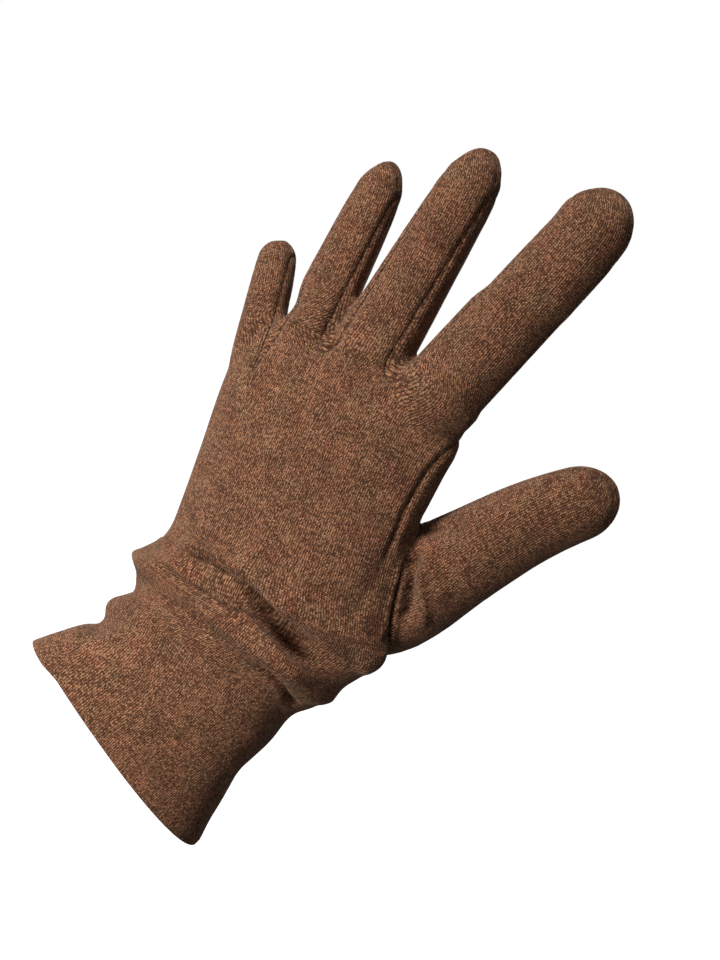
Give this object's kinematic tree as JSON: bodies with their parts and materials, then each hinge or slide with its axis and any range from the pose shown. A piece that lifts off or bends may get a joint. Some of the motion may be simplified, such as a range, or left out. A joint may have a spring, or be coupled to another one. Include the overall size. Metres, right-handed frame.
{
  "type": "glove liner",
  "caption": "Fine knitted wool glove liner for a left hand in its worn form, with spread fingers, forked strips between them, a set-in thumb, slouched wrist folds and a flared open cuff.",
  "frame": {"origin": "centre of the cuff's open rim, where the hand goes in", "axes": "+Z from the wrist to the fingertips, -Y out of the back of the hand, +X towards the thumb"},
  "size_m": [0.1668, 0.0637, 0.2616],
  "materials": {
    "wool_jersey": "matt heathered brown wool jersey, fine gauge, soft nap"
  },
  "bodies": {
    "root": {"hand_panel": "wool_jersey", "little_finger": "wool_jersey", "ring_finger": "wool_jersey", "middle_finger": "wool_jersey", "index_finger": "wool_jersey", "fourchette_little_ring": "wool_jersey", "fourchette_ring_middle": "wool_jersey", "fourchette_middle_index": "wool_jersey", "thumb_piece": "wool_jersey"}
  },
  "joints": []
}
